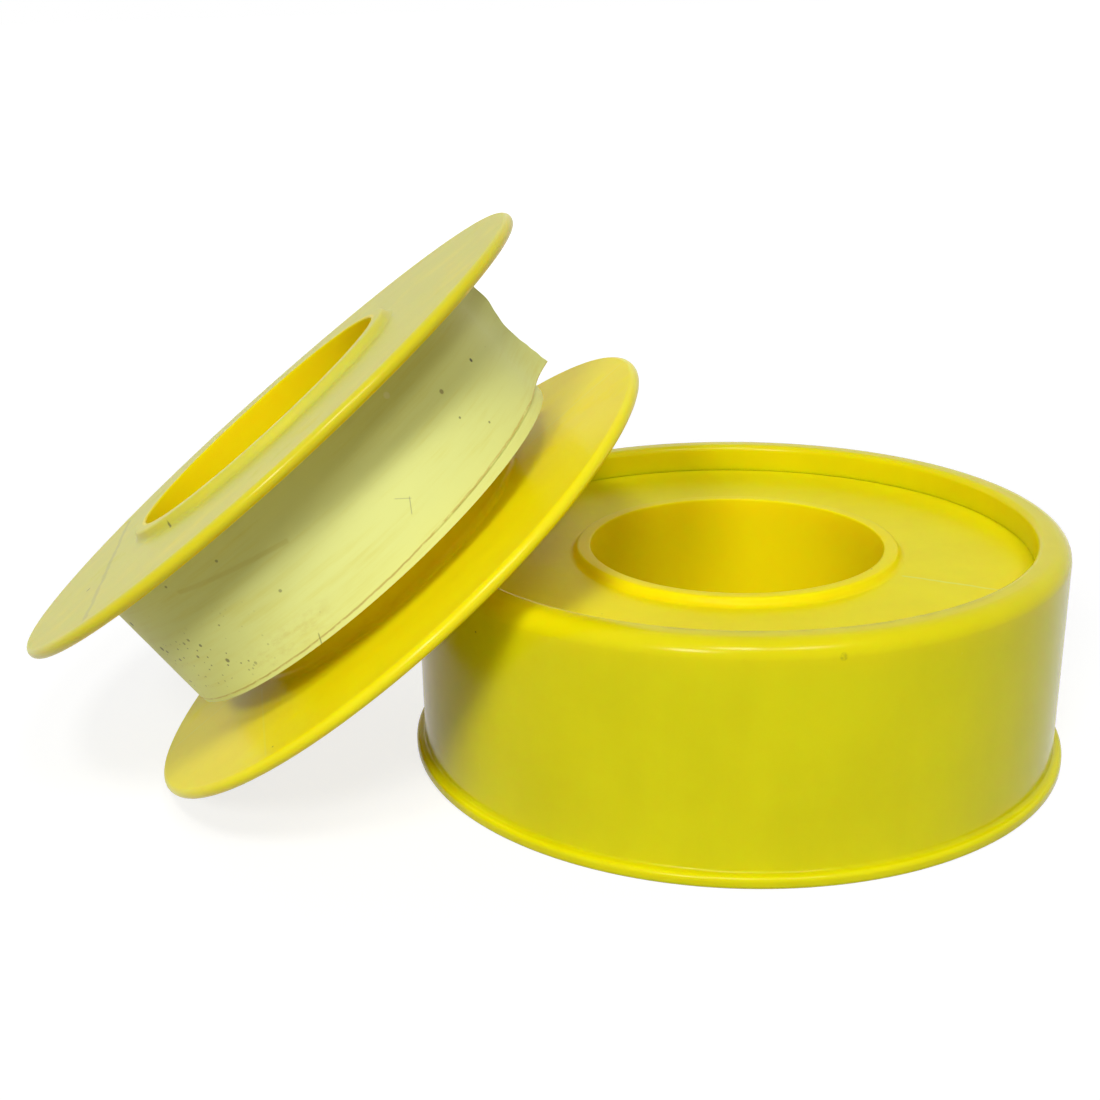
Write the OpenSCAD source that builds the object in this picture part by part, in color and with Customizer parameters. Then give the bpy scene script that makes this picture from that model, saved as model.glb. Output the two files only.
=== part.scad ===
// Thread seal tape on yellow moulded spools: one roll closed in its cover ring, standing on the
// bench, and one open, part used roll that leans on it. The axis of the closed roll is Z and the
// bench is at Z = 0. Both rolls have the same spool.

/* [Tape] */
// Width of the tape
tape_w = 12; // [10:0.5:20]
// Thickness of the film
film_t = 0.1; // [0.08:0.005:0.13]
// Length on a full roll, in metres
full_len = 12; // [8:0.5:15]
// Length left on the open roll, in metres
left_len = 6.4; // [3:0.1:8]
// How far the turns stand off the flange that they lie against
tape_side = 0.3; // [0.15:0.05:0.6]
// How far the last turns lie above the edge of the ones below them
wander = 1; // [0.3:0.1:1.5]
// How much narrower the last turns are, pulled thin
neck = 0.7; // [0.2:0.05:1]
// Build-up of the last turns, which lie off the ones below
last_turns = 0.2; // [0.1:0.05:0.6]
// Slack between the innermost turn and the hub
wind_slack = 0.03; // [0.02:0.01:0.1]

/* [Loose end] */
// Length of the loose end
end_len = 6; // [4:0.5:16]
// Thickness of the loose end with its crinkles
end_t = 0.3; // [0.2:0.05:0.6]
// Radius to which the loose end curls outward
end_curl = 24; // [16:1:80]
// Where the end leaves the winding, as an angle round the roll
end_at = -6; // [-60:1:30]
// Gap between the loose end and the turn below it
end_gap = 0.2; // [0.15:0.05:0.5]

/* [Spool] */
// Bore through the hub
bore_d = 26.2; // [20:0.1:32]
// Wall of the hub tube
hub_wall = 1.2; // [0.8:0.1:2]
// Thickness of each flange
flange_t = 1.1; // [0.8:0.1:2]
// Room between the flanges beyond the width of the tape
flange_play = 3.5; // [2:0.1:6]
// How far the flanges stand out past a full winding
flange_over = 3.5; // [2:0.1:6]
// Height of the collar round the bore, on the upper face
collar_h = 0.75; // [0.3:0.05:1.2]
// Run of the collar's sloped flank
collar_run = 0.9; // [0.4:0.05:1.4]
// Fillet where the hub meets the flanges
hub_fillet = 0.6; // [0.3:0.1:1]

/* [Cover ring] */
// Wall of the cover ring
cover_wall = 0.8; // [0.6:0.1:1.8]
// Radial clearance between the cover and the flanges
cover_clear = 0.3; // [0.2:0.05:0.6]
// Radial width of the rim, which turns inward over the upper flange
rim_w = 2.9; // [2.6:0.1:3.4]
// Height of the rim above the collar
rim_above = 1.9; // [1:0.05:2.5]
// Rounding of the rim into the wall
rim_round = 1.5; // [0.8:0.1:1.8]
// Rounding of the rim's inner edge
rim_edge = 0.6; // [0.3:0.1:0.8]
// Gap between the rim and the upper flange
rim_gap = 0.15; // [0.1:0.05:0.3]
// How far the foot stands out past the wall
foot_out = 0.8; // [0.4:0.05:1.5]
// Height of the foot
foot_h = 1.1; // [0.9:0.1:2]
// Gap between the snap bead inside the foot and the flange that it holds
bead_gap = 0.08; // [0.05:0.01:0.15]
// Height of the snap bead
bead_h = 0.4; // [0.3:0.05:0.5]

/* [Lean] */
// Angle between the open roll's axis and the vertical
lean = 38.5; // [30:0.1:50]
// Shift of the open roll along the rim, toward the front
lean_shift = 1.4; // [0:0.1:5]
// Gap left where the open roll rests on the rim
lean_gap = 0.3; // [0.2:0.05:0.5]

/* [Hidden] */
$fn = 96;
// Flats that make up each arc in a section
arc_steps = 8;

// Spool
bore_r = bore_d / 2;
hub_r = bore_r + hub_wall;
flange_gap = tape_w + flange_play;
full_r = wound_radius(full_len);
flange_r = full_r + flange_over;
flange_mid = (flange_gap + flange_t) / 2;
face_z = flange_gap / 2 + flange_t;
spool_h = 2 * face_z + collar_h;

// Tape, and how far its last turns reach down into the ones below
sink = 0.1;
left_r = wound_radius(left_len);
tape_top = flange_gap / 2 - tape_side;
last_w = tape_w - neck;
last_low = tape_top - last_w;
tape_low = min(last_low - wander, tape_top - tape_w);
end_r = left_r + end_gap;

// Cover
cover_ri = flange_r + cover_clear;
cover_r = cover_ri + cover_wall;
cover_h = spool_h + rim_above;
rim_ri = cover_r - rim_w;
rim_low = 2 * face_z + rim_gap;
foot_r = cover_r + foot_out;
foot_round = 0.45 * foot_out;
foot_fillet = 0.4 * foot_out;
bead_r = flange_r + bead_gap;

// Place of the open roll: its lower flange stands on the bench on the left, and its underside
// rests on the rim of the cover.
lean_y = -lean_shift;
lean_z = flange_mid * cos(lean) + (flange_r - flange_t / 2) * sin(lean) + flange_t / 2;
lean_x = settle(-cover_r - 2 * flange_r, -cover_r + flange_r, 24);

// Outer radius of a winding of the given length in metres
function wound_radius(metres) = sqrt(pow(hub_r, 2) + metres * 1000 * film_t / PI);

// Distance from a point at radius r and height z, on the spool's own axes, to the spool's lower face
function face_distance(r, z) = norm([max(bore_r - r, r - flange_r, 0), max(-face_z - z, 0)]);

// Distance from the underside of the open roll, standing at x, to the middle of the rim's rounding
// at the angle a
function rim_distance(x, a) =
    let (
        ring = cover_r - rim_round,
        dx = ring * cos(a) - x,
        dy = ring * sin(a) - lean_y,
        dz = cover_h - rim_round - lean_z,
        along = dz * cos(lean) - dx * sin(lean),
        out = norm([dx * cos(lean) + dz * sin(lean), dy])
    )
    face_distance(out, along);

// The place nearest to the cover at which the open roll still clears the rim, by halving
function settle(far, near, steps) =
    let (
        half = (far + near) / 2,
        clear = min([for (a = [90 : 1.5 : 270]) rim_distance(half, a)])
    )
    steps == 0 ? far
    : clear >= rim_round + lean_gap ? settle(half, near, steps - 1)
    : settle(far, half, steps - 1);

// Points of an arc in section
function arc(middle, radius, from, to) =
    [for (i = [0 : arc_steps]) middle + radius * [cos(from + (to - from) * i / arc_steps),
                                                  sin(from + (to - from) * i / arc_steps)]];

// Outline of the upper flange, from its outer face round its edge to the hub
function flange_outline() = concat(
    arc([flange_r - flange_t / 2, flange_mid], flange_t / 2, 90, -90),
    arc([hub_r + hub_fillet, flange_gap / 2 - hub_fillet], hub_fillet, 90, 180)
);

// The moulded spool, centred between its flanges, with a collar on its upper face
module spool() {
    upper = flange_outline();
    lower = [for (i = [len(upper) - 1 : -1 : 0]) [upper[i].x, -upper[i].y]];
    rotate_extrude() polygon(concat(
        [
            [bore_r, face_z + collar_h],
            [hub_r, face_z + collar_h],
            [hub_r + collar_run, face_z]
        ],
        upper,
        lower,
        [[bore_r, -face_z]]
    ));
}

// A winding out to the given radius, with the last turns lying higher than the ones below them
module winding(r) {
    start = hub_r + wind_slack + hub_fillet_room();
    rotate_extrude() {
        translate([start, tape_low]) square([r - last_turns - start, tape_w]);
        translate([r - last_turns - sink, last_low]) square([last_turns + sink, last_w]);
    }
}

// The innermost turns start where the fillet by the upper flange lets the tape's edge in
function hub_fillet_room() =
    let (rise = flange_gap / 2 - (tape_low + tape_w))
    rise >= hub_fillet ? 0 : hub_fillet - sqrt(pow(hub_fillet, 2) - pow(hub_fillet - rise, 2));

// Puts the open roll's own axes at its place
module leaning() {
    translate([lean_x, lean_y, lean_z]) rotate([0, -lean, 0]) children();
}

module covered_spool() {
    color("#d9cc2e") translate([0, 0, face_z]) spool();
}

module covered_tape() {
    color("#e6e2ae") translate([0, 0, face_z]) winding(full_r);
}

// The rim turns in over the upper flange, and a bead inside the foot holds the lower one
module cover_ring() {
    color("#d6c914") rotate_extrude() polygon(concat(
        [[bead_r, 0]],
        arc([foot_r - foot_round, foot_round], foot_round, -90, 0),
        arc([foot_r - foot_round, foot_h - foot_round], foot_round, 0, 90),
        arc([cover_r + foot_fillet, foot_h + foot_fillet], foot_fillet, 270, 180),
        arc([cover_r - rim_round, cover_h - rim_round], rim_round, 0, 90),
        arc([rim_ri + rim_edge, cover_h - rim_edge], rim_edge, 90, 180),
        [
            [rim_ri, rim_low],
            [cover_ri, rim_low],
            [cover_ri, bead_h + cover_ri - bead_r],
            [bead_r, bead_h]
        ]
    ));
}

module open_spool() {
    color("#d9cc2e") leaning() spool();
}

module open_tape() {
    color("#e6e2ae") leaning() winding(left_r);
}

// The loose end leaves the winding along a tangent and curls away from it
module tape_end() {
    color("#e6e2ae") leaning()
        rotate(end_at)
            translate([end_r + end_curl, 0, last_low])
                rotate(180 - end_len / end_curl * 180 / PI)
                    rotate_extrude(angle = end_len / end_curl * 180 / PI)
                        translate([end_curl - end_t, 0]) square([end_t, last_w]);
}

covered_spool();
covered_tape();
cover_ring();
open_spool();
open_tape();
tape_end();
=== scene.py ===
"""Looks of the two rolls of thread seal tape: yellow spools, a cover ring and cream film."""
import math
import random

import bmesh
import bpy
from mathutils import Matrix, Vector


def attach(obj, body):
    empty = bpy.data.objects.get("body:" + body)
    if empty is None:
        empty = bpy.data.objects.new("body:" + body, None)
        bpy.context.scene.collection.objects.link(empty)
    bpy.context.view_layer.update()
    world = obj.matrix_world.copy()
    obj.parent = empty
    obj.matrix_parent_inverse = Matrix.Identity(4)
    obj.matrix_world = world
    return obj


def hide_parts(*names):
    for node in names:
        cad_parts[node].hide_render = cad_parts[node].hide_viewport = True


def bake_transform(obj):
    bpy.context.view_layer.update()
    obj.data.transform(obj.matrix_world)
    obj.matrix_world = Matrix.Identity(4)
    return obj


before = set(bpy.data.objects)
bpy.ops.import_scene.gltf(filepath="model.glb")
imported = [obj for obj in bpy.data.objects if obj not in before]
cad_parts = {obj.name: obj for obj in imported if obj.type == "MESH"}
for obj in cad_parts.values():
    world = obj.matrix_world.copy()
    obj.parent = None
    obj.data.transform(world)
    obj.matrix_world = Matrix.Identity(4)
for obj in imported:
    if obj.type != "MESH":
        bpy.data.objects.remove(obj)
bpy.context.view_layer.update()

# Sizes are in millimetres on a roll's own axes, and become metres when a piece is put in place
MM = 0.001
ROUND_STEPS = 6
TURN_STEPS = 192
SHARP_ANGLE = math.radians(40)

# Spool
BORE_R = 13.1
HUB_R = 14.3
HUB_FILLET = 0.6
FLANGE_R = 27.717
FLANGE_T = 1.1
FLANGE_GAP = 15.5
FLANGE_EDGE = 0.54
FACE_Z = FLANGE_GAP / 2 + FLANGE_T
COLLAR_H = 0.75
COLLAR_RUN = 0.35
COLLAR_INNER_ROUND = 0.15
COLLAR_OUTER_ROUND = 0.2
COLLAR_FILLET = 0.35
BORE_EDGE = 0.15
OPEN_WARP = 0.05
WARP_TURN = 2.1

# Cover ring
COVER_R = 28.817
COVER_RI = 28.017
COVER_H = 20.35
RIM_RI = 25.917
RIM_LOW = 17.71
RIM_ROUND = 1.5
RIM_EDGE = 0.6
RIM_LOW_EDGE = 0.02
RIM_INSIDE_FILLET = 0.1
FOOT_R = 29.617
FOOT_H = 1.1
FOOT_ROUND = 0.36
FOOT_FILLET = 0.32
FOOT_INNER_ROUND = 0.1
BEAD_R = 27.797
BEAD_H = 0.4
BEAD_ROUND = 0.05

# Windings
TAPE_W = 12
WIND_START = 14.33
LEFT_R = 20.2042
FULL_R = 24.217
LAST_TURNS = 0.05
TAPE_TOP = 7.45
TAPE_LOW = -4.85
TURN_PITCH = 0.2
TURN_WANDER = 0.07
WALL_STEPS = 22
WALL_UNEVEN = 0.012
WALL_NEAR = 0.01

# Lower edge of the outermost turns: its height, and the angles in degrees where it climbs and falls
EDGE_LOW = -4.4
EDGE_RISE = 0.85
EDGE_CLIMB = (-105, -8)
EDGE_FALL = (20, 140)

# Loose end of the film. Lengths are counted from the place where it leaves the winding.
FILM_T = 0.09
FILM_R = LEFT_R + 0.05
FILM_STEPS = (96, 40)
LEAVE_ANGLE = -6
LEAVE_R = 20.35
CURL_R = 22
TUCK_LEN = 26
TUCK_RISE = 8
TUCK_R = LEFT_R - 0.12
LIFT_LEN = 6
RIPPLE = 0.09
RIPPLE_START = -2
RIPPLE_FULL = 6
RIPPLE_UP = 0.9
RIPPLE_ALONG = 0.6
# The torn edge: height, and length of the film there
TORN_EDGE = (
    (-3.6, 6.5),
    (-2.6, 6.05),
    (-1.3, 5.6),
    (-0.1, 5.2),
    (1.6, 5.0),
    (2.8, 5.2),
    (4.1, 5.4),
    (6.0, 4.9),
    (7.5, 4.7),
)

# Places of the rolls
CLOSED_AT = Vector((0, 0, FACE_Z))
OPEN_AT = Vector((-35.91232, -1.4, 23.95749))
OPEN_LEAN = math.radians(38.5)

# Camera
CAMERA_AT = Vector((-20.1104, -136.6064, 64.9457))
CAMERA_PITCH = 0.37284
CAMERA_ROLL = 0.02957
CAMERA_SHIFT = (0.0318, 0.0636)
FOCAL_PX = 1596
IMAGE_PX = 1100

# Light, and how deep it goes into the plastic
GLOW_DEPTH = 1.8
SURROUND_LEVEL = 0.14
LAMP_AWAY = 0.8
LAMP_AIM = Vector((-0.018, 0, 0.015))
# Soft boxes: azimuth and elevation in degrees, size in metres, power, and whether gloss shows them
LAMPS = {
    "left_box": (-22, 30, 0.14, 2.45, True),
    "middle_box": (-4, 52, 0.14, 2.1, True),
    "right_box": (24, 49, 0.14, 1.25, True),
    "back_right_box": (145, 16, 0.4, 0.8, False),
    "back_left_box": (215, 16, 0.4, 1.2, False),
}
FLOOR_HALF = 8
FLOOR_NEAR, FLOOR_FAR = 0.05, 0.35


def colour(red, green, blue):
    return (red, green, blue, 1)


COVER_YELLOW = colour(0.78, 0.70, 0.002)
SPOOL_YELLOW = colour(0.96, 0.78, 0.003)
# Painted orange bounce light inside the closed roll's bore
BORE_PAINTED_BOUNCE = colour(1, 0.76, 0.003)
# Painted deeper orange shade of bounce light inside the open roll's bore
BORE_PAINTED_SHADE = colour(0.84, 0.66, 0.003)
PALE_YELLOW = colour(0.86, 0.82, 0.16)
FILM_CREAM = colour(0.77, 0.81, 0.29)
FILM_WARM = colour(0.73, 0.73, 0.21)
FILM_PALE = colour(0.86, 0.88, 0.5)
# Painted shade along the edge of the upper flange's shadow on the film
FILM_PAINTED_SHADE = colour(0.6, 0.55, 0.12)
GREY = colour(0.2, 0.2, 0.14)
# Dull haze with painted grazing sheen on the open roll's upper face
HAZE_AND_SHEEN = colour(0.5, 0.54, 0.12)
OLIVE = colour(0.3, 0.27, 0.03)
EDGE_BROWN = colour(0.5, 0.33, 0.06)
GRIME = colour(0.035, 0.03, 0.015)
BROWN = colour(0.22, 0.16, 0.05)
BLACK = colour(0, 0, 0)
FLOOR_SEEN = colour(0.3, 0.3, 0.3)
FLOOR_LIT = colour(0.42, 0.42, 0.42)
NEAR_WHITE = colour(0.78, 0.78, 0.78)
WHITE = colour(1, 1, 1)

# Spots on the open roll's film: angle round the roll in degrees, height, size, shade and its depth
FILM_SPOTS = (
    (-38, 3.05, 0.26, BROWN, 0.7),
    (-23, 2.75, 0.22, GRIME, 0.9),
    (-49.7, 6, 0.35, FILM_PALE, 0.8),
    (-39, 0.6, 0.14, GRIME, 0.6),
    (-33, -1.5, 0.14, GRIME, 0.6),
    (-121.8, -1.66, 0.26, GRIME, 0.7),
    (-127.5, 1.4, 0.18, GRIME, 0.6),
    (-119, 6.05, 0.16, GRIME, 0.5),
    (-103, 5.35, 0.16, GRIME, 0.5),
    (-96.7, 0.5, 0.18, GRIME, 0.5),
    (-143, 1.6, 0.3, GRIME, 0.8),
    (-147.8, 4.6, 0.3, GRIME, 0.8),
    (-141.5, 1.2, 0.2, GRIME, 0.8),
)
# Thin lines on it: angle and height of both ends, then the width, the shade and its depth
FILM_LINES = (
    (-64, -0.1, -61.7, -0.8, 0.06, GREY, 0.35),
    (-61.7, -0.8, -63.5, -1.7, 0.06, GREY, 0.5),
    (-97.3, -4.1, -98.7, -5, 0.08, GRIME, 0.5),
    # This wide line is painted shade along the edge of the upper flange's shadow
    (-117, 5.1, -87.7, 3.15, 0.3, FILM_PAINTED_SHADE, 0.35),
)


def smooth_step(low, high, value):
    """0 below low, 1 above high, and a smooth rise between them."""
    share = min(1.0, max(0.0, (value - low) / (high - low)))
    return share * share * (3 - 2 * share)


def roll_place(at, lean):
    """Turns a roll's own axes to its place, in metres."""
    turn = Matrix.Rotation(-lean, 4, "Y")
    return Matrix.Translation(at * MM) @ turn @ Matrix.Scale(MM, 4)


def lathe(outline):
    """A ring with the given section: radius, height and rounding of each corner, in order."""
    shape = bmesh.new()
    corners = [shape.verts.new((r, 0, z)) for r, z, rounding in outline]
    shape.faces.new(corners)
    for rounding in sorted({corner[2] for corner in outline if corner[2]}):
        rounded = [vert for vert, corner in zip(corners, outline) if corner[2] == rounding]
        bmesh.ops.bevel(shape, geom=rounded, offset=rounding, offset_type="OFFSET",
                        affect="VERTICES", segments=ROUND_STEPS, profile=0.5, material=-1)
    bmesh.ops.delete(shape, geom=shape.faces[:], context="FACES_ONLY")
    bmesh.ops.spin(shape, geom=shape.verts[:] + shape.edges[:], cent=(0, 0, 0), axis=(0, 0, 1),
                   angle=2 * math.pi, steps=TURN_STEPS, use_merge=True, use_duplicate=False)
    bmesh.ops.recalc_face_normals(shape, faces=shape.faces[:])
    return shape


def add_object(name, data):
    """A new object in the scene."""
    thing = bpy.data.objects.new(name, data)
    bpy.context.scene.collection.objects.link(thing)
    return thing


def make_piece(name, shape, place, finish):
    """Puts a shape in place as a piece with its finish, shaded smooth between its sharp edges."""
    bmesh.ops.transform(shape, matrix=place, verts=shape.verts[:])
    mesh = bpy.data.meshes.new(name)
    shape.to_mesh(mesh)
    shape.free()
    for face in mesh.polygons:
        face.use_smooth = True
    mesh.set_sharp_from_angle(angle=SHARP_ANGLE)
    mesh.materials.append(finish)
    piece = add_object(name, mesh)
    facing = piece.modifiers.new("even_facing", "WEIGHTED_NORMAL")
    facing.keep_sharp = True
    return piece


def spool_shape(warp):
    """The moulded spool, centred between its flanges, whose edges stray by the warp."""
    upper = [
        (FLANGE_R, FACE_Z, FLANGE_EDGE),
        (FLANGE_R, FLANGE_GAP / 2, FLANGE_EDGE),
        (HUB_R, FLANGE_GAP / 2, HUB_FILLET),
    ]
    lower = [(r, -z, rounding) for r, z, rounding in reversed(upper)]
    collar = [
        (BORE_R, FACE_Z + COLLAR_H, COLLAR_INNER_ROUND),
        (HUB_R, FACE_Z + COLLAR_H, COLLAR_OUTER_ROUND),
        (HUB_R + COLLAR_RUN, FACE_Z, COLLAR_FILLET),
    ]
    shape = lathe(collar + upper + lower + [(BORE_R, -FACE_Z, BORE_EDGE)])
    for vert in shape.verts:
        reach = smooth_step(HUB_R, FLANGE_R, math.hypot(vert.co.x, vert.co.y))
        turn = math.atan2(vert.co.y, vert.co.x)
        vert.co.z += warp * reach * math.sin(2 * turn + WARP_TURN)
    return shape


def cover_shape():
    """The cover ring: foot, wall, a rim that turns in over the flange, and a bead inside."""
    return lathe([
        (BEAD_R, 0, FOOT_INNER_ROUND),
        (FOOT_R, 0, FOOT_ROUND),
        (FOOT_R, FOOT_H, FOOT_ROUND),
        (COVER_R, FOOT_H, FOOT_FILLET),
        (COVER_R, COVER_H, RIM_ROUND),
        (RIM_RI, COVER_H, RIM_EDGE),
        (RIM_RI, RIM_LOW, RIM_LOW_EDGE),
        (COVER_RI, RIM_LOW, RIM_INSIDE_FILLET),
        (COVER_RI, BEAD_H + COVER_RI - BEAD_R, BEAD_ROUND),
        (BEAD_R, BEAD_H, BEAD_ROUND),
    ])


def film_edge(turn):
    """Height of the lower edge of the outermost turns, by the angle round the roll in degrees."""
    climb = smooth_step(*EDGE_CLIMB, turn)
    return EDGE_LOW + EDGE_RISE * climb * (1 - smooth_step(*EDGE_FALL, turn))


def winding_shape(outer_r, seed):
    """Turns of film on the hub, whose edges wander a little from turn to turn."""
    chance = random.Random(seed)
    body_r = outer_r - LAST_TURNS
    turns = int((body_r - WIND_START) / TURN_PITCH)
    low_side, high_side = [], []
    for turn in range(turns):
        inner = WIND_START + turn * TURN_PITCH
        outer = body_r if turn == turns - 1 else inner + TURN_PITCH
        low = TAPE_LOW + chance.uniform(0, TURN_WANDER)
        high = TAPE_LOW + TAPE_W - chance.uniform(0, TURN_WANDER)
        low_side += [(inner, low, 0), (outer, low, 0)]
        high_side += [(inner, high, 0), (outer, high, 0)]
    wall = [(body_r, EDGE_LOW, 0)]
    for step in range(WALL_STEPS + 1):
        height = EDGE_LOW + (TAPE_TOP - EDGE_LOW) * step / WALL_STEPS
        wall.append((outer_r - chance.uniform(0, WALL_UNEVEN), height, 0))
    wall.append((body_r, TAPE_TOP, 0))
    shape = lathe(low_side + wall + high_side[::-1])
    for vert in shape.verts:
        outermost = math.hypot(vert.co.x, vert.co.y) > body_r - WALL_NEAR
        if outermost and vert.co.z > EDGE_LOW - WALL_NEAR:
            share = (TAPE_TOP - vert.co.z) / (TAPE_TOP - EDGE_LOW)
            edge = film_edge(math.degrees(math.atan2(vert.co.y, vert.co.x)))
            vert.co.z = TAPE_TOP - share * (TAPE_TOP - edge)
    return shape


def torn_end(height):
    """How far the loose film reaches past the place where it leaves the winding."""
    for (low, first), (high, last) in zip(TORN_EDGE, TORN_EDGE[1:]):
        if height <= high:
            return first + (last - first) * smooth_step(low, high, height)
    return TORN_EDGE[-1][1]


def film_point(length, height):
    """A point of the film's last stretch, with x along the radius where the film leaves."""
    rise = smooth_step(-TUCK_LEN, TUCK_RISE - TUCK_LEN, length)
    lift = smooth_step(-LIFT_LEN, 0, length)
    start_r = TUCK_R + (FILM_R - TUCK_R) * rise + (LEAVE_R - FILM_R) * lift
    if length <= 0:
        out = start_r * math.cos(length / LEAVE_R)
        forward = start_r * math.sin(length / LEAVE_R)
    else:
        out = start_r + CURL_R * (1 - math.cos(length / CURL_R))
        forward = CURL_R * math.sin(length / CURL_R)
    loose = smooth_step(RIPPLE_START, RIPPLE_FULL, length)
    out += loose * RIPPLE * math.sin(RIPPLE_UP * height + RIPPLE_ALONG * length)
    return Vector((out, forward, height))


def film_shape():
    """The last stretch of the film: tucked down on the winding, then loose, with a torn end."""
    shape = bmesh.new()
    along_steps, across_steps = FILM_STEPS
    bmesh.ops.create_grid(shape, x_segments=along_steps, y_segments=across_steps, size=1)
    leave = Matrix.Rotation(math.radians(LEAVE_ANGLE), 3, "Z")
    for vert in shape.verts:
        along, across = (vert.co.x + 1) / 2, (vert.co.y + 1) / 2
        low = film_edge(LEAVE_ANGLE - math.degrees(TUCK_LEN / LEAVE_R) * (1 - along))
        height = low + (TAPE_TOP - low) * across
        length = -TUCK_LEN + (torn_end(height) + TUCK_LEN) * along
        vert.co = leave @ film_point(length, height)
    bmesh.ops.recalc_face_normals(shape, faces=shape.faces[:])
    bmesh.ops.solidify(shape, geom=shape.faces[:], thickness=FILM_T)
    bmesh.ops.recalc_face_normals(shape, faces=shape.faces[:])
    return shape


class Value:
    """A value that changes over a surface: one output socket, with arithmetic that adds nodes."""

    def __init__(self, nodes, node, output):
        self.nodes = nodes
        self.node = node
        self.socket = node.outputs[output]

    def output(self, name):
        return Value(self.nodes, self.node, name)

    def _math(self, operation, first, second):
        return self.nodes.add("ShaderNodeMath", {"operation": operation}, {0: first, 1: second})

    def __add__(self, other):
        return self._math("ADD", self, other)

    def __sub__(self, other):
        return self._math("SUBTRACT", self, other)

    def __rsub__(self, other):
        return self._math("SUBTRACT", other, self)

    def __mul__(self, other):
        return self._math("MULTIPLY", self, other)

    __radd__ = __add__
    __rmul__ = __mul__


class Nodes:
    """A tree of nodes and the shader that it feeds."""

    def __init__(self, tree, shader):
        self.tree = tree
        self.shader = tree.nodes[shader]

    def add(self, kind, settings, sockets, output=0):
        """One node: its settings first, then the values or links of its sockets."""
        node = self.tree.nodes.new(kind)
        for key, value in settings.items():
            setattr(node, key, value)
        for key, value in sockets.items():
            self.feed(node.inputs[key], value)
        return Value(self, node, output)

    def feed(self, socket, value):
        """Links a value that changes, or sets a constant."""
        if isinstance(value, Value):
            self.tree.links.new(value.socket, socket)
        else:
            socket.default_value = value

    def surface(self, **sockets):
        """Constants and patterns on the shader's own sockets."""
        for key, value in sockets.items():
            self.feed(self.shader.inputs[key.replace("_", " ")], value)


class Finish(Nodes):
    """A material that is made of nodes, with helpers for the patterns of this object."""

    def __init__(self, name):
        self.material = bpy.data.materials.new(name)
        self.material.use_nodes = True
        super().__init__(self.material.node_tree, "Principled BSDF")

    def root(self, value):
        return self.add("ShaderNodeMath", {"operation": "SQRT"}, {0: value})

    def turn(self, y, x):
        return self.add("ShaderNodeMath", {"operation": "ARCTAN2"}, {0: y, 1: x})

    def size(self, value):
        return self.add("ShaderNodeMath", {"operation": "ABSOLUTE"}, {0: value})

    def ramp(self, value, low, high):
        """0 at low and 1 at high, with a smooth rise, or a fall where low is above high."""
        return self.add("ShaderNodeMapRange", {"interpolation_type": "SMOOTHSTEP"}, {
            "Value": value, "From Min": low, "From Max": high})

    def near(self, value, middle, half, soft):
        """1 within half of the middle, and 0 where it is further away by soft."""
        return self.ramp(self.size(value - middle), half + soft, half)

    def line(self, u, v, start, end, width):
        """A thin straight mark between two points of a surface."""
        run = Vector(end) - Vector(start)
        along_u, along_v = run.normalized()
        out_u, out_v = u - start[0], v - start[1]
        along = out_u * along_u + out_v * along_v
        across = out_u * along_v - out_v * along_u
        ends = self.near(along, run.length / 2, run.length / 2, soft=0.25)
        return self.ramp(self.size(across), width, 0.3 * width) * ends

    def spot(self, u, v, at, size):
        """A small round mark."""
        out_u, out_v = u - at[0], v - at[1]
        return self.ramp(self.root(out_u * out_u + out_v * out_v), size, 0.5 * size)

    def noise(self, point, scale, detail, roughness=0.5):
        return self.add("ShaderNodeTexNoise", {}, {
            "Vector": point, "Scale": scale, "Detail": detail, "Roughness": roughness}, "Fac")

    def stretched(self, point, scale):
        """The same points, drawn out more along one axis than another."""
        return self.add("ShaderNodeMapping", {"vector_type": "POINT"}, {
            "Vector": point, "Scale": scale})

    def specks(self, point, spacing, size, share):
        """Scattered dots: their spacing and size, and the share of places that holds one."""
        cell = self.add("ShaderNodeTexVoronoi", {}, {
            "Vector": point, "Scale": 1 / spacing}, "Distance")
        lot = self.add("ShaderNodeSeparateColor", {}, {0: cell.output("Color")})
        chosen = self.ramp(lot, share + 0.02, share - 0.02)
        ragged = cell + 0.6 * size / spacing * (self.noise(point, 1.6 / size, 2) - 0.5)
        return self.ramp(ragged, size / spacing, 0.5 * size / spacing) * chosen

    def blend(self, first, second, share):
        """Mix of two colours."""
        return self.add("ShaderNodeMix", {"data_type": "RGBA"}, {
            0: share, 6: first, 7: second}, 2)

    def bump(self, height, distance, strength):
        return self.add("ShaderNodeBump", {}, {
            "Height": height, "Distance": distance * MM, "Strength": strength}, "Normal")


class RollFinish(Finish):
    """A finish on a roll's own axes in millimetres, with the turn in radians, that takes marks."""

    def __init__(self, name, at, lean):
        super().__init__(name)
        self.point = self.add("ShaderNodeMapping", {"vector_type": "TEXTURE"}, {
            "Vector": self.add("ShaderNodeTexCoord", {}, {}, "Object"),
            "Location": at * MM,
            "Rotation": (0, -lean, 0),
            "Scale": (MM, MM, MM),
        })
        self.x = self.add("ShaderNodeSeparateXYZ", {}, {0: self.point})
        self.y = self.x.output("Y")
        self.z = self.x.output("Z")
        self.radius = self.root(self.x * self.x + self.y * self.y)
        self.angle = self.turn(self.y, self.x)

    def mark(self, mask, shade, strength):
        self.shade = self.blend(self.shade, shade, strength * mask)


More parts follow.
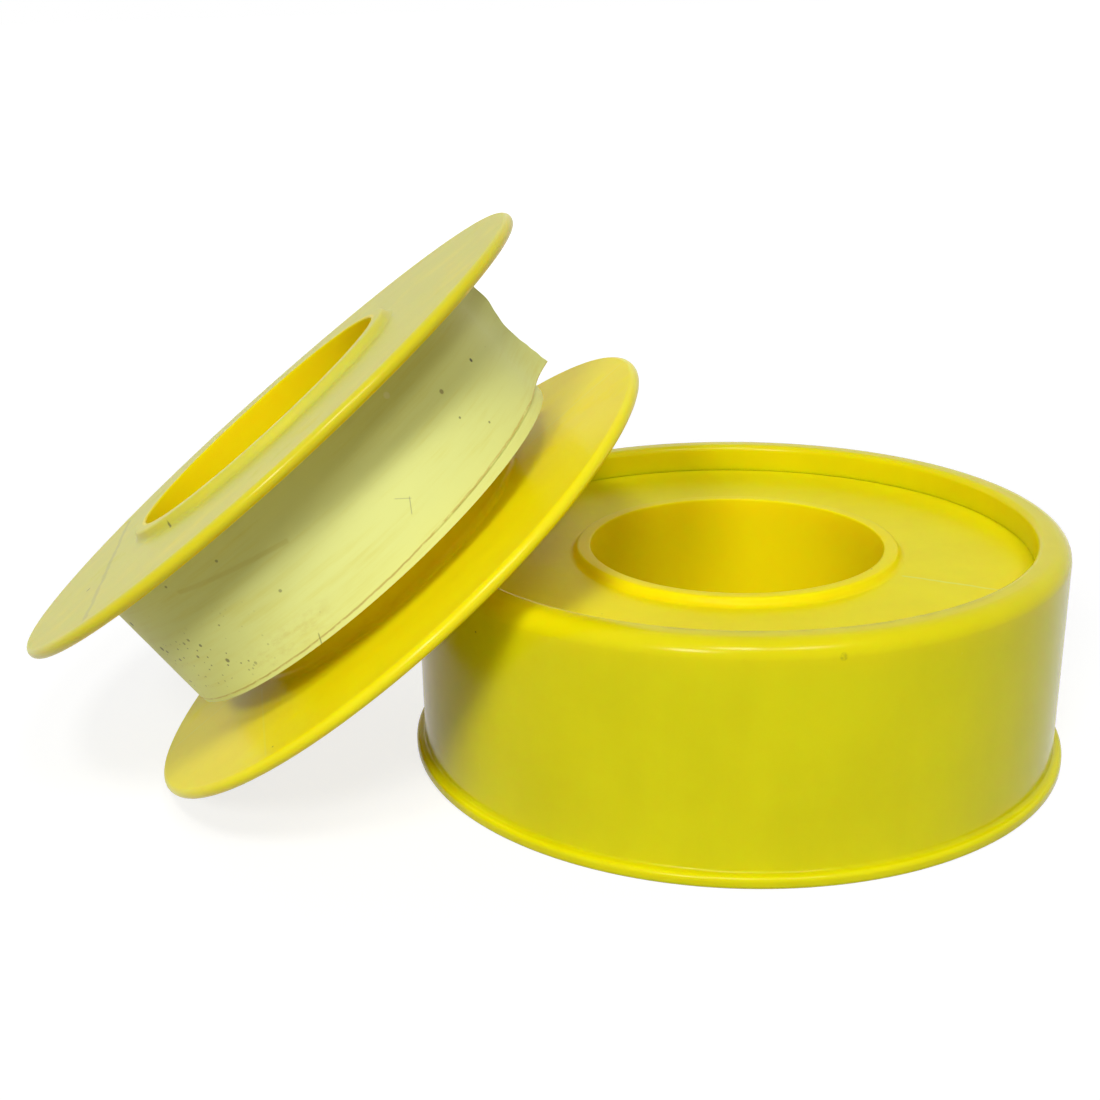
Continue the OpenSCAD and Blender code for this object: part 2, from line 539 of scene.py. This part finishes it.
class YellowPlastic(RollFinish):
    """Satin moulded plastic: slow change of shade, fine grain and a few specks."""

    def __init__(self, name, at, lean, shade, gloss, roughness):
        super().__init__(name, at, lean)
        self.surface(
            Specular_IOR_Level=gloss,
            Subsurface_Weight=0.75,
            Subsurface_Radius=(1, 0.6, 0.05),
            Subsurface_Scale=GLOW_DEPTH * MM,
        )
        self.roughness = roughness
        cloud = self.noise(self.point, scale=0.11, detail=3)
        drawn = self.stretched(self.point, (0.5, 0.5, 0.12))
        flow = self.noise(drawn, scale=0.5, detail=4, roughness=0.6)
        self.grain = self.noise(self.point, scale=4.5, detail=3)
        self.rub = self.ramp(flow, 0.55, 0.75)
        deep = colour(*(0.93 * part for part in shade[:3]))
        self.shade = self.blend(deep, shade, self.ramp(cloud + 0.5 * flow, 0.45, 1.05))
        self.mark(self.specks(self.point, spacing=2.6, size=0.13, share=0.07), GRIME, 0.6)

    def upper_face(self):
        return self.ramp(self.z, FACE_Z - 0.3, FACE_Z - 0.12)

    def bore(self):
        return self.ramp(self.radius, BORE_R + 0.3, BORE_R + 0.1)

    def front_dirt(self):
        """Uneven dirt at the front of the closed roll."""
        front = self.near(self.angle, middle=math.radians(-95), half=0.6, soft=0.5)
        return front * self.ramp(self.noise(self.point, scale=0.4, detail=4), 0.3, 0.65)

    def done(self, relief=None):
        height = 0.6 * self.grain if relief is None else 0.6 * self.grain + relief
        self.surface(
            Base_Color=self.shade,
            Roughness=self.roughness + 0.06 * self.grain + 0.08 * self.rub,
            Normal=self.bump(height, distance=0.012, strength=0.6),
        )
        return self.material


def spool_plastic(name, at, lean):
    return YellowPlastic(name, at, lean, SPOOL_YELLOW, gloss=0.045, roughness=0.3)


def closed_spool_plastic():
    """The closed roll's spool: a pale weld line on its upper face, dirt by the rim, and painted
    orange bounce light in its bore.
    """
    finish = spool_plastic("closed_spool_yellow", CLOSED_AT, 0)
    upper = finish.upper_face()
    # The bore is painted brighter and more orange: painted bounce light
    finish.mark(finish.bore(), BORE_PAINTED_BOUNCE, 0.8)
    waver = 0.5 * finish.noise(finish.point, scale=0.5, detail=2) - 0.25
    weld = finish.line(finish.x, finish.y + waver, (13.3, -8.2), (21.5, -12.9), 0.24) * upper
    finish.mark(weld, PALE_YELLOW, 0.6)
    by_rim = finish.ramp(finish.radius, RIM_RI - 1.4, RIM_RI - 0.1) * upper
    finish.mark(by_rim * finish.front_dirt(), OLIVE, 0.4)
    return finish.done(0.8 * weld)


def cover_plastic():
    """The cover ring: a dark smudge by the rim, and a little dirt along the rim's inner edge."""
    finish = YellowPlastic("cover_yellow", CLOSED_AT, 0, COVER_YELLOW, gloss=0.115, roughness=0.16)
    smudge_at = (math.radians(-82) * COVER_R, 19.0 - FACE_Z)
    smudge = finish.spot(finish.angle * COVER_R, finish.z, smudge_at, 0.4)
    finish.mark(smudge * finish.ramp(finish.grain, 0.2, 0.7), GRIME, 0.3)
    inner_edge = finish.near(finish.radius, middle=RIM_RI + 0.2, half=0.2, soft=0.7)
    inner_edge = inner_edge * finish.ramp(finish.z, 10.8, 11.3)
    finish.mark(inner_edge * finish.front_dirt(), OLIVE, 0.35)
    return finish.done()


def open_spool_plastic():
    """The open roll's spool: haze with painted sheen, a scratch and small marks on top, painted
    bounce shade in the bore, and lines in the groove.
    """
    finish = spool_plastic("open_spool_yellow", OPEN_AT, OPEN_LEAN)
    x, y = finish.x, finish.y
    upper = finish.upper_face()
    # The bore is painted a deeper orange: painted shade and bounce light
    finish.mark(finish.bore(), BORE_PAINTED_SHADE, 0.8)
    flat = upper * finish.ramp(finish.radius, BORE_R + 0.1, BORE_R + 0.4)
    # Patches of real haze, which also carry a painted sheen of the white surroundings
    haze_and_sheen = finish.ramp(finish.noise(finish.point, scale=0.25, detail=4), -0.5, 0.6) * flat
    finish.mark(haze_and_sheen, HAZE_AND_SHEEN, 0.65)
    upper_edge = finish.ramp(finish.radius, FLANGE_R - 0.5, FLANGE_R - 0.1)
    upper_edge = upper_edge * finish.ramp(finish.z, 7.5, 8)
    finish.mark(upper_edge, COVER_YELLOW, 0.8)
    finish.mark(upper_edge, OLIVE, 0.25)
    edges = finish.ramp(finish.radius, FLANGE_R - 0.5, FLANGE_R - 0.2)
    finish.surface(Coat_Weight=0.3 * edges, Coat_Roughness=0.2)
    waver = 0.8 * finish.noise(finish.point, scale=0.35, detail=2) - 0.4
    scratch = finish.line(x + waver, y, (-20.6, 14), (-14.4, -22.3), 0.4) * flat
    finish.mark(scratch, GREY, 0.24)
    finish.mark(finish.spot(x, y, (-18.6, -8.6), 0.3) * upper, GRIME, 0.6)
    finish.mark(finish.line(x, y, (-8, -12.2), (-7.7, -13.2), 0.14) * upper, GRIME, 0.7)
    groove_floor = finish.near(finish.z, middle=-FLANGE_GAP / 2, half=0.1, soft=0.1)
    parting = finish.line(x, y, (14.5, 1.8), (27.5, 3.4), 0.14)
    parting = parting + finish.line(x, y, (-14.5, -1.5), (-27.5, -2.9), 0.14)
    flow = finish.line(x, y, (-14.7, -6.3), (-10.9, -24.5), 0.14)
    finish.mark((parting + 0.6 * flow) * groove_floor, PALE_YELLOW, 0.4)
    return finish.done(0.7 * parting * groove_floor)


class CreamFilm(RollFinish):
    """Thin waxy film: streaks along the turns, the shade of layers, and specks."""

    def __init__(self, name, at, lean):
        super().__init__(name, at, lean)
        drawn = self.stretched(self.point, (0.12, 0.12, 1.8))
        self.streaks = self.noise(drawn, scale=1, detail=4, roughness=0.6)
        self.cloud = self.noise(self.point, scale=0.14, detail=3)
        layers = self.ramp(self.streaks + 0.6 * self.cloud, 0.4, 0.9)
        self.shade = self.blend(FILM_WARM, FILM_CREAM, layers)
        self.mark(self.specks(self.point, spacing=1.4, size=0.09, share=0.16), BROWN, 0.55)

    def done(self):
        self.surface(
            Base_Color=self.shade,
            Roughness=0.46 + 0.12 * self.streaks,
            Normal=self.bump(self.streaks + 0.3 * self.cloud, distance=0.035, strength=0.5),
            Specular_IOR_Level=0.3,
        )
        return self.material


def on_film(turn, height):
    """A place on the open roll's film, from its angle in degrees, in millimetres."""
    return (math.radians(turn) * LEFT_R, height)


def open_roll_film():
    """The open roll's film, with the brown edge of its outermost turn, dirt, small marks and a line
    of painted shade.
    """
    finish = CreamFilm("open_film_cream", OPEN_AT, OPEN_LEAN)
    along = finish.angle * LEFT_R
    wall = finish.ramp(finish.radius, LEFT_R - 0.5, LEFT_R - 0.3)

    climb = finish.ramp(finish.angle, *(math.radians(turn) for turn in EDGE_CLIMB))
    fall = finish.ramp(finish.angle, *(math.radians(turn) for turn in reversed(EDGE_FALL)))
    rough = finish.noise(finish.point, scale=0.7, detail=4, roughness=0.6)
    off_edge = finish.size(finish.z + 0.3 * rough - 0.15 - EDGE_LOW - EDGE_RISE * climb * fall)
    edge = finish.ramp(off_edge, 0.13, 0.02) * finish.ramp(rough, 0.3, 0.5)
    finish.mark(edge * wall, EDGE_BROWN, 0.6)

    stained = finish.near(finish.angle, middle=math.radians(-104), half=0.12, soft=0.2)
    stained = stained * finish.near(finish.z, middle=-2.9, half=0.6, soft=0.9)
    drawn = finish.stretched(finish.point, (0.8, 0.8, 1.6))
    stain = finish.ramp(finish.noise(drawn, scale=1, detail=5, roughness=0.7), 0.4, 0.7)
    finish.mark(stain * stained * wall, EDGE_BROWN, 0.2)

    dirty = finish.near(finish.angle, middle=math.radians(-132), half=0.2, soft=0.35)
    dirty = dirty * finish.near(finish.z, middle=-0.8, half=1.4, soft=2.2)
    cluster = finish.ramp(finish.noise(finish.point, scale=0.55, detail=3), 0.4, 0.56)
    fine = finish.specks(finish.point, spacing=0.55, size=0.12, share=0.75)
    coarse = finish.specks(finish.point, spacing=1.3, size=0.2, share=0.4)
    finish.mark((fine + coarse) * dirty * cluster * wall, GRIME, 0.7)

    for turn, height, size, shade, depth in FILM_SPOTS:
        spot = finish.spot(along, finish.z, on_film(turn, height), size)
        finish.mark(spot * wall, shade, depth)
    for turn, height, end_turn, end_height, width, shade, depth in FILM_LINES:
        start, end = on_film(turn, height), on_film(end_turn, end_height)
        finish.mark(finish.line(along, finish.z, start, end, width) * wall, shade, depth)
    return finish.done()


def make_camera():
    """The camera of the photograph, by its place, pitch and roll."""
    lens = bpy.data.cameras.new("camera")
    lens.sensor_width = 36
    lens.lens = FOCAL_PX / IMAGE_PX * lens.sensor_width
    lens.shift_x, lens.shift_y = CAMERA_SHIFT
    lens.clip_start = 0.005
    lens.clip_end = 50
    camera = add_object("camera", lens)
    upright = Vector((0, math.sin(CAMERA_PITCH), math.cos(CAMERA_PITCH)))
    right = Vector((math.cos(CAMERA_ROLL), 0, 0)) - upright * math.sin(CAMERA_ROLL)
    up = Vector((math.sin(CAMERA_ROLL), 0, 0)) + upright * math.cos(CAMERA_ROLL)
    turn = Matrix((right, up, right.cross(up))).transposed().to_4x4()
    camera.matrix_world = Matrix.Translation(CAMERA_AT * MM) @ turn
    bpy.context.scene.camera = camera


def make_lamp(name, azimuth, elevation, size, power, in_gloss):
    """A square soft box that looks at the rolls: azimuth is 0 at the front, and grows rightward."""
    side, rise = math.radians(azimuth), math.radians(elevation)
    level = math.cos(rise)
    toward = Vector((math.sin(side) * level, -math.cos(side) * level, math.sin(rise)))
    lamp = bpy.data.lights.new(name, "AREA")
    lamp.size = size
    lamp.energy = power
    box = add_object(name, lamp)
    box.location = LAMP_AIM + toward * LAMP_AWAY
    box.rotation_euler = (-toward).to_track_quat("-Z", "Y").to_euler()
    box.visible_glossy = in_gloss


def make_floor():
    """A plain white floor that keeps the shadow of the rolls."""
    shape = bmesh.new()
    bmesh.ops.create_grid(shape, x_segments=1, y_segments=1, size=FLOOR_HALF)
    mesh = bpy.data.meshes.new("floor")
    shape.to_mesh(mesh)
    shape.free()
    floor = add_object("floor", mesh)
    finish = Finish("floor_white")
    path = finish.add("ShaderNodeLightPath", {}, {}, "Is Camera Ray")
    seen = path + path.output("Is Glossy Ray") + path.output("Is Transmission Ray")
    seen = finish.ramp(seen, 0, 1)
    place = finish.add("ShaderNodeTexCoord", {}, {}, "Object")
    away = finish.add("ShaderNodeVectorMath", {"operation": "LENGTH"}, {0: place}, "Value")
    white = finish.blend(NEAR_WHITE, WHITE, finish.ramp(away, FLOOR_NEAR, FLOOR_FAR))
    finish.surface(
        Base_Color=finish.blend(FLOOR_LIT, FLOOR_SEEN, seen),
        Emission_Color=finish.blend(BLACK, white, seen),
        Emission_Strength=1,
        Roughness=1,
        Specular_IOR_Level=0,
    )
    mesh.materials.append(finish.material)


def make_world():
    """Even white surroundings: white where they are seen, softer where they light the rolls."""
    world = bpy.data.worlds.new("surroundings")
    world.use_nodes = True
    sky = Nodes(world.node_tree, "Background")
    path = sky.add("ShaderNodeLightPath", {}, {}, "Is Camera Ray")
    level = SURROUND_LEVEL
    for ray in ("Is Camera Ray", "Is Glossy Ray", "Is Transmission Ray"):
        level = sky.add("ShaderNodeMath", {"operation": "MAXIMUM"}, {0: path.output(ray), 1: level})
    sky.surface(Strength=level, Color=WHITE)
    bpy.context.scene.world = world


bpy.context.scene.view_settings.view_transform = "Standard"
make_camera()
make_floor()
make_world()
for lamp_name, lamp_values in LAMPS.items():
    make_lamp(lamp_name, *lamp_values)

closed_place = roll_place(CLOSED_AT, 0)
open_place = roll_place(OPEN_AT, OPEN_LEAN)
closed_yellow = closed_spool_plastic()
cover_yellow = cover_plastic()
open_yellow = open_spool_plastic()
closed_film = CreamFilm("closed_film_cream", CLOSED_AT, 0).done()
open_film = open_roll_film()

closed_spool = make_piece("closed_spool", spool_shape(0), closed_place, closed_yellow)
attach(closed_spool, "covered_roll")
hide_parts("covered_spool")

closed_winding = make_piece("closed_winding", winding_shape(FULL_R, 3), closed_place, closed_film)
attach(closed_winding, "covered_roll")
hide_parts("covered_tape")

cover = make_piece("cover_shell", cover_shape(), Matrix.Scale(MM, 4), cover_yellow)
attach(cover, "cover")
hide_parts("cover_ring")

open_spool = make_piece("leaning_spool", spool_shape(OPEN_WARP), open_place, open_yellow)
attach(open_spool, "open_roll")
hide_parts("open_spool")

open_winding = make_piece("leaning_winding", winding_shape(LEFT_R, 8), open_place, open_film)
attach(open_winding, "open_roll")
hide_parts("open_tape")

loose_film = make_piece("loose_film", film_shape(), open_place, open_film)
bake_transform(loose_film)
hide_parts("tape_end")
